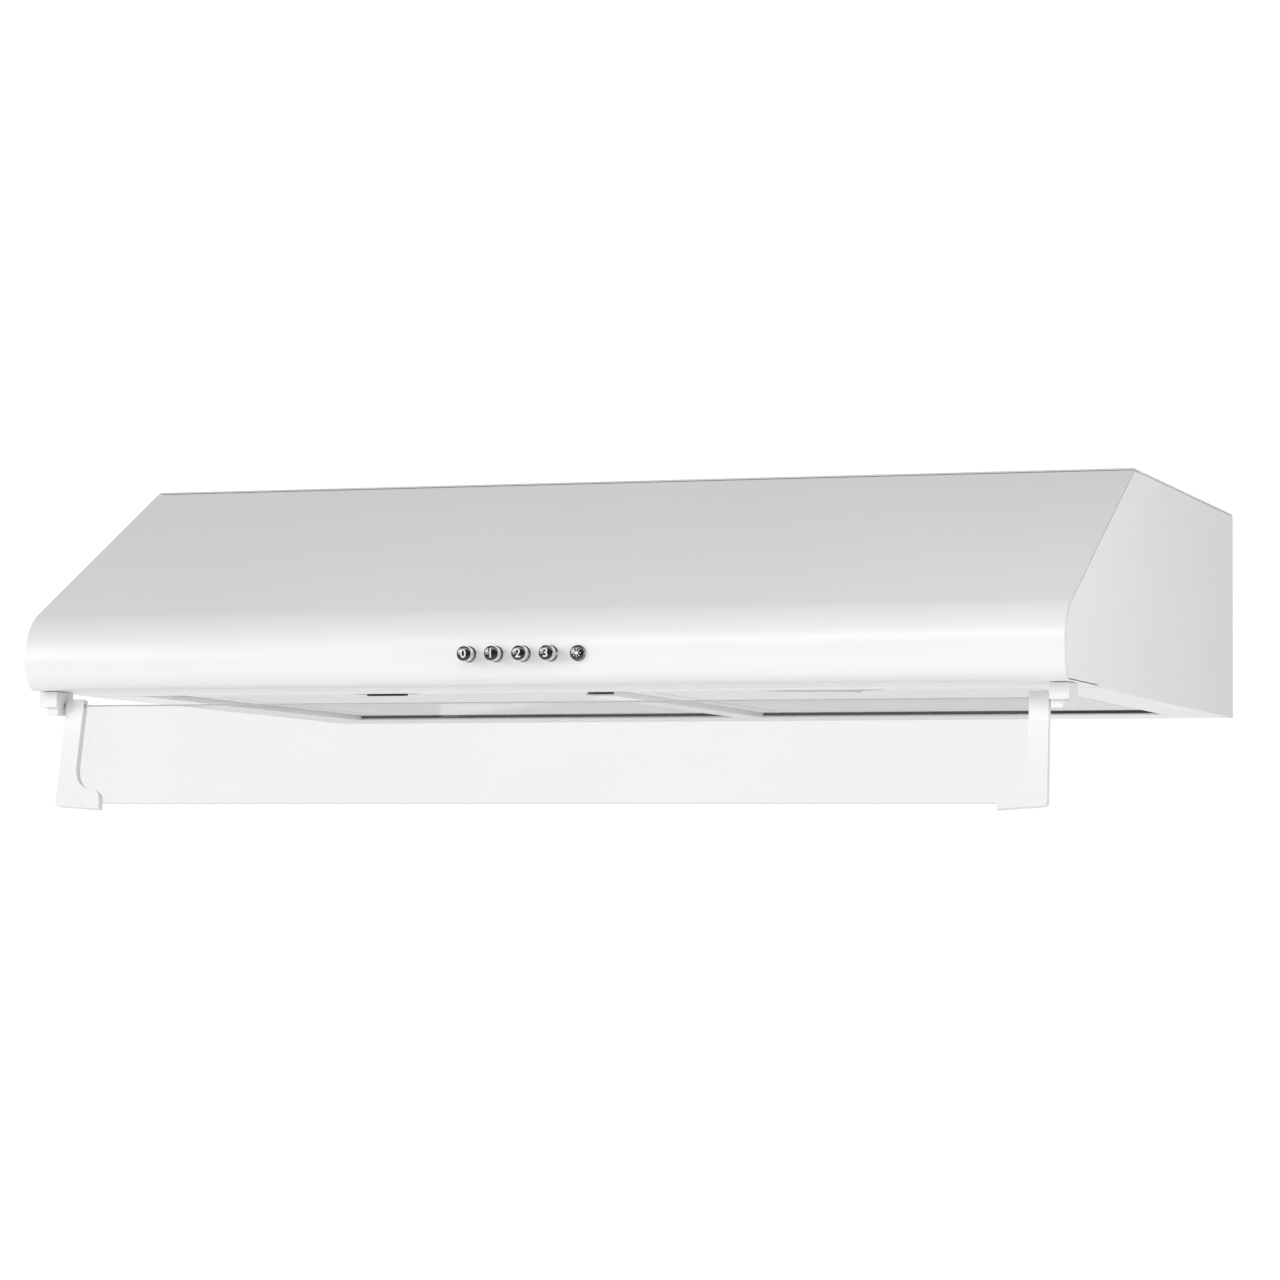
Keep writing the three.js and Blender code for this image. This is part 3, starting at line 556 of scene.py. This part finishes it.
def turned(name, profile, place, skin, segments):
    """A solid of revolution about local Z, from (radius, height) points.

    A profile that starts and ends on the axis is closed by it. Any other one closes on itself, as a ring.
    """
    shape = bmesh.new()
    rings = []
    for radius, height in profile:
        if radius == 0:
            rings.append([shape.verts.new((0, 0, height))])
            continue
        turns = [2 * math.pi * i / segments for i in range(segments)]
        rings.append([shape.verts.new((radius * math.cos(a), radius * math.sin(a), height)) for a in turns])
    pairs = list(zip(rings, rings[1:]))
    if len(rings[0]) > 1:
        pairs.append((rings[-1], rings[0]))
    for one, two in pairs:
        for i in range(segments):
            j = (i + 1) % segments
            corners = [one[i % len(one)], one[j % len(one)], two[j % len(two)], two[i % len(two)]]
            shape.faces.new(list(dict.fromkeys(corners)))
    bmesh.ops.transform(shape, matrix=place, verts=shape.verts)
    return smooth(from_bmesh(name, shape, skin))


def rounded(points, radius):
    """The open line with its corners rounded by small Bezier bends, shorter where its stretches are short."""
    line = [points[0]]
    for last, corner, following in zip(points, points[1:], points[2:]):
        before = last - corner
        after = following - corner
        reach = min(radius, 0.45 * before.length, 0.45 * after.length)
        start = corner + before.normalized() * reach
        end = corner + after.normalized() * reach
        line += [start, *curve_points(start, corner, end, 4)]
    return [*line, points[-1]]


# ---------------------------------------------------------------- front panel

def front_line():
    """Corners and arcs of the front sheet's outer line from the hem to the lip, as (y, z)."""
    low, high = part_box("front_panel")
    top_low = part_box("top_panel")[0]
    hem_front = Vector((top_low.y - (top_low.z - high.z) / math.tan(SLOPE), high.z))
    nose_z = low.z + NOSE_HEIGHT
    upper = arc_points((low.y + UPPER_RADIUS, nose_z), UPPER_RADIUS, math.pi / 2 + SLOPE, math.pi, 40)
    turn = math.asin(NOSE_HEIGHT / LOWER_RADIUS)
    lower_centre = (low.y + LOWER_RADIUS, nose_z)
    trimmed = LIP_BEND / LOWER_RADIUS
    lower = arc_points(lower_centre, LOWER_RADIUS, math.pi, math.pi + turn - trimmed, 32)[1:]
    lip_front = Vector((lower_centre[0] - LOWER_RADIUS * math.cos(turn), low.z))
    return hem_front, upper, lower, lip_front


def front_sheet():
    """Hem, slope, nose, lip and upstand as one sheet, with a round hole for each button."""
    low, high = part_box("front_panel")
    hem_front, upper, lower, lip_front = front_line()
    rear_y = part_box("lamp_panel")[0].y - LAMP_PANEL_GAP
    hem = rounded([Vector((high.y, high.z)), hem_front, upper[0]], HEM_BEND)[:-1]
    lip_bend = curve_points(lower[-1], lip_front, lip_front + Vector((LIP_BEND, 0)), 5)
    upstand_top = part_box("filter_rail")[1].z
    lip = rounded([lip_bend[-1], Vector((rear_y, low.z)), Vector((rear_y, upstand_top))], LIP_BEND)[1:]
    line = [*hem, *upper, *lower, *lip_bend, *lip]
    rings = []
    for x, inset in ((low.x, SHEET_EDGE), (low.x + SHEET_EDGE, 0), (0, 0),
                     (high.x - SHEET_EDGE, 0), (high.x, SHEET_EDGE)):
        section = offset_line(line, inset) + offset_line(line, SHEET - inset)[::-1]
        rings.append([Vector((x, p.x, p.y)) for p in section])
    piece = loft("front_sheet", rings, SKINS["white_paint"])
    hole = [(0, -DRILL_REACH), (BUTTON_HOLE_RADIUS, -DRILL_REACH),
            (BUTTON_HOLE_RADIUS, DRILL_REACH), (0, DRILL_REACH)]
    for node in BUTTONS:
        button_low, button_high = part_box(node)
        centre = (button_low + button_high) / 2
        at = Matrix.Translation((centre.x, low.y, centre.z)) @ FORWARD
        cut(piece, turned("drill", hole, at, SKINS["white_paint"], 48))
    smooth(piece, 25)
    stands_for(piece, "front_panel")


# ---------------------------------------------------------------- buttons

def sun_mesh(height):
    """Flat disc with eight tapered rays round it, in X and Y, that tall."""
    shape = bmesh.new()
    bmesh.ops.create_circle(shape, cap_ends=True, segments=24, radius=0.2 * height)
    near, far, half = 0.29 * height, 0.5 * height, 0.045 * height
    corners = ((near, -half), (far, -0.6 * half), (far, 0.6 * half), (near, half))
    for i in range(8):
        ray = Matrix.Rotation(i * math.pi / 4, 4, "Z")
        shape.faces.new([shape.verts.new(ray @ Vector((x, y, 0))) for x, y in corners])
    mesh = bpy.data.meshes.new("symbol")
    shape.to_mesh(mesh)
    shape.free()
    return mesh


def digit_mesh(digit, height):
    """Flat digit in X and Y, centred, that tall."""
    text = bpy.data.curves.new("symbol", "FONT")
    text.body = digit
    text.offset = SYMBOL_SPREAD
    holder = bpy.data.objects.new("symbol", text)
    bpy.context.scene.collection.objects.link(holder)
    bpy.context.view_layer.update()
    mesh = bpy.data.meshes.new_from_object(holder.evaluated_get(bpy.context.evaluated_depsgraph_get()))
    bpy.data.objects.remove(holder)
    low, high = extent([vertex.co for vertex in mesh.vertices])
    mesh.transform(Matrix.Scale(height / (high.y - low.y), 4) @ Matrix.Translation(-(low + high) / 2))
    return mesh


def round_edge(radius, start, corner):
    """Quarter turn from a flat face at that height to a cylinder of that radius."""
    turns = [math.pi / 2 * i / 5 for i in range(6)]
    return [(radius - corner + corner * math.sin(a), start + corner - corner * math.cos(a)) for a in turns]


def push_button(node, symbol):
    """A bright plunger, a domed cap on it whose dark colour is a painted dark reflection, its raised symbol and a
    dark ring of painted shade round the plunger.
    """
    low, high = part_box(node)
    centre = (low + high) / 2
    radius = (high.x - low.x) / 2
    length = high.y - low.y
    at = Matrix.Translation((centre.x, low.y, centre.z)) @ FORWARD
    groove_radius = radius - SHADE_RING_GROOVE
    groove_start = SHADE_RING_START + SHADE_RING_GROOVE
    groove_end = SHADE_RING_END - SHADE_RING_GROOVE
    profile = [(0, PLUNGER_DEPTH), *round_edge(radius, PLUNGER_DEPTH, PLUNGER_EDGE),
               (radius, SHADE_RING_START), (groove_radius, groove_start),
               (groove_radius, groove_end), (radius, SHADE_RING_END),
               (radius, length), (0, length)]
    plunger = turned(f"turned_{node}", profile, at, SKINS["chrome"], BUTTON_SEGMENTS)
    stands_for(plunger, node)

    # The cap's dark colour is a painted dark reflection.
    dome_radius = radius - CAP_BORDER
    dome = [(dome_radius * i / 8, CAP_DOME * (i / 8) ** 2) for i in range(9)]
    cap_radius = radius - CAP_CLEARANCE
    cap_back = PLUNGER_DEPTH - CAP_CLEARANCE
    rim = [(cap_radius, CAP_DOME + CAP_RIM), (cap_radius, cap_back), (0, cap_back)]
    cap = turned(f"cap_{node}", [*dome, *rim], at, SKINS["chrome_painted_dark_reflection"], BUTTON_SEGMENTS)
    # A dark ring in the plunger's groove towards its rear: painted shade.
    shade_ring_radius = radius - SHADE_RING_CLEARANCE
    band = [(groove_radius, groove_start), (shade_ring_radius, groove_start),
            (shade_ring_radius, groove_end), (groove_radius, groove_end)]
    ring = turned(f"shade_ring_{node}", band, at, SKINS["dark_plastic"], BUTTON_SEGMENTS)

    depth = CAP_DOME + SYMBOL_ROOT
    flat = sun_mesh(SYMBOL_HEIGHT) if symbol == "sun" else digit_mesh(symbol, SYMBOL_HEIGHT)
    shape = bmesh.new()
    shape.from_mesh(flat)
    raised = bmesh.ops.extrude_face_region(shape, geom=shape.faces[:])
    front = [corner for corner in raised["geom"] if isinstance(corner, bmesh.types.BMVert)]
    bmesh.ops.translate(shape, verts=front, vec=(0, 0, depth))
    facing = Matrix.Translation((centre.x, low.y + depth, centre.z)) @ BACKWARD
    bmesh.ops.transform(shape, matrix=facing, verts=shape.verts)
    mark = from_bmesh(f"symbol_{node}", shape, SKINS["printed_white"])
    for piece, slot in ((cap, "chrome"), (ring, "dark_plastic"), (mark, "white_plastic")):
        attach(piece, BODY_OF[node])


# ---------------------------------------------------------------- visor

def visor_place():
    """From the upright drawing, with the hinge axis through its origin, to the visor's place at rest."""
    return Matrix.Translation(JOINTS["visor_hinge"]["pos_m"]) @ Matrix.Rotation(-VISOR_TILT, 4, "X")


def bracket_outline():
    """Distance inwards from the bracket's outer edge, and height over its foot, in millimetres."""
    top = 61.6
    line = [Vector((0, 1.2)), Vector((1.4, top - 3))]
    line += curve_points(line[-1], (1.5, top), (4, top), 8)
    line += [Vector((12.2, top)), Vector((11.2, 23))]
    line += curve_points(line[-1], (11.4, 10.2), (22.5, 9.3), 16)
    line += curve_points(line[-1], (26.9, 8.6), (27.3, 3), 8)
    line += [Vector((27.5, -1.9)), Vector((1.2, 0))]
    return line


def visor_sheet():
    """The clear sheet, with frosted cut edges, in the place of its CAD node."""
    upright = visor_place().inverted()
    low, high = extent([upright @ vertex.co for vertex in frame["nodes"]["visor_panel"].data.vertices])
    shape = bmesh.new()
    bmesh.ops.create_cube(shape, size=1)
    bmesh.ops.scale(shape, vec=high - low, verts=shape.verts)
    bmesh.ops.translate(shape, vec=(low + high) / 2, verts=shape.verts)
    bmesh.ops.bevel(shape, geom=shape.edges[:], offset=VISOR_EDGE, segments=2, profile=0.5, affect="EDGES")
    piece = from_bmesh("visor_sheet", shape, SKINS["clear_visor"])
    piece.data.materials.append(SKINS["visor_edge"])
    for face in piece.data.polygons:
        broad = abs(face.normal.y) > 0.999
        face.material_index = 0 if broad else 1
    piece.data.transform(visor_place())
    stands_for(piece, "visor_panel")


def visor_bracket(word, side):
    """A moulded bracket, tilted as the visor is, with a hole right through it for its pin."""
    node = f"{word}_visor_bracket"
    low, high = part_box(node)
    outer = max(abs(low.x), abs(high.x))
    section = [(side * (outer - p.x * MM), BRACKET_FOOT + p.y * MM) for p in bracket_outline()]
    half = BRACKET_THICKNESS / 2
    rings = [[Vector((x, y, z)) for x, z in section] for y in (-half, half)]
    piece = loft(f"moulded_{node}", rings, SKINS["white_plastic"])
    sideways = Matrix.Rotation(side * math.pi / 2, 4, "Y")
    at = Matrix.Translation((side * (outer - PIN_DRILL_START), 0, 0)) @ sideways
    hole = [(0, 0), (PIN_HOLE_RADIUS, 0), (PIN_HOLE_RADIUS, PIN_DRILL_LENGTH), (0, PIN_DRILL_LENGTH)]
    cut(piece, turned("drill", hole, at, SKINS["white_plastic"], 32))
    piece.data.transform(visor_place())
    piece.data.shade_smooth()
    bevelled(piece, BRACKET_EDGE, 3)
    stands_for(piece, node)


# ---------------------------------------------------------------- filters

def filter_mesh(word):
    """Two layers of expanded metal, pressed down flush with the frame inside its window."""
    node = f"{word}_filter_mesh"
    low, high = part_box(node)
    frame_low, frame_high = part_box(f"{word}_filter_frame")
    window_low = frame_low + Vector((WINDOW_BORDER, WINDOW_FRONT_BORDER, 0))
    window_high = frame_high - Vector((WINDOW_BORDER, WINDOW_BORDER, 0))
    columns = int((high.x - low.x) / DIAMOND.x)
    rows = int((high.y - low.y) / DIAMOND.y)
    step = Vector(((high.x - low.x) / columns, (high.y - low.y) / rows))
    shape = bmesh.new()

    def pressed(x, y):
        inside = min(x - window_low.x, window_high.x - x, y - window_low.y, window_high.y - y)
        return PRESSED_DEPTH * min(max(inside / PRESSED_EDGE, 0), 1)

    def add_layer(z, shift):
        corners = {}

        def corner(i, j):
            if (i, j) not in corners:
                x = min(max(low.x + (i / 2 + shift) * step.x, low.x), high.x)
                y = min(low.y + j / 2 * step.y, high.y)
                corners[i, j] = shape.verts.new((x, y, z - pressed(x, y)))
            return corners[i, j]

        for j in range(1, 2 * rows):
            for i in range(1 + j % 2, 2 * columns - int(2 * shift), 2):
                shape.faces.new((corner(i - 1, j), corner(i, j - 1), corner(i + 1, j), corner(i, j + 1)))

    for share, shift in MESH_LAYERS:
        add_layer(low.z + (high.z - low.z) * share, shift)
    piece = from_bmesh(f"expanded_{node}", shape, SKINS["filter_aluminium"])
    wire = piece.modifiers.new("strands", "WIREFRAME")
    wire.thickness = STRAND
    wire.use_even_offset = False
    apply_modifiers(piece)
    piece.data.materials.clear()
    piece.data.materials.append(SKINS["filter_aluminium"])
    stands_for(piece, node)


# ---------------------------------------------------------------- CAD nodes that keep their shape

def dress_cad_node(node):
    """Its slot's material and bevelled edges, by modifiers, so its mesh stays as it is."""
    piece = frame["nodes"][node]
    piece.data.materials.clear()
    piece.data.materials.append(SKINS[SLOT_OF[node]])
    piece.data.shade_smooth()
    weld = piece.modifiers.new("weld", "WELD")
    weld.merge_threshold = WELD_DISTANCE
    bevelled(piece, KEPT_EDGES.get(node, SMALL_EDGE) * MM)


# ---------------------------------------------------------------- the whole

bpy.context.scene.view_settings.view_transform = "Standard"
make_camera()
make_world()
make_floor()
for light in SOFTBOXES:
    softbox(*light)

front_sheet()
for node, symbol in BUTTONS.items():
    push_button(node, symbol)
visor_sheet()
for word, side in SIDES:
    visor_bracket(word, side)
    filter_mesh(word)

for node, piece in frame["nodes"].items():
    if not piece.hide_render:
        dress_cad_node(node)
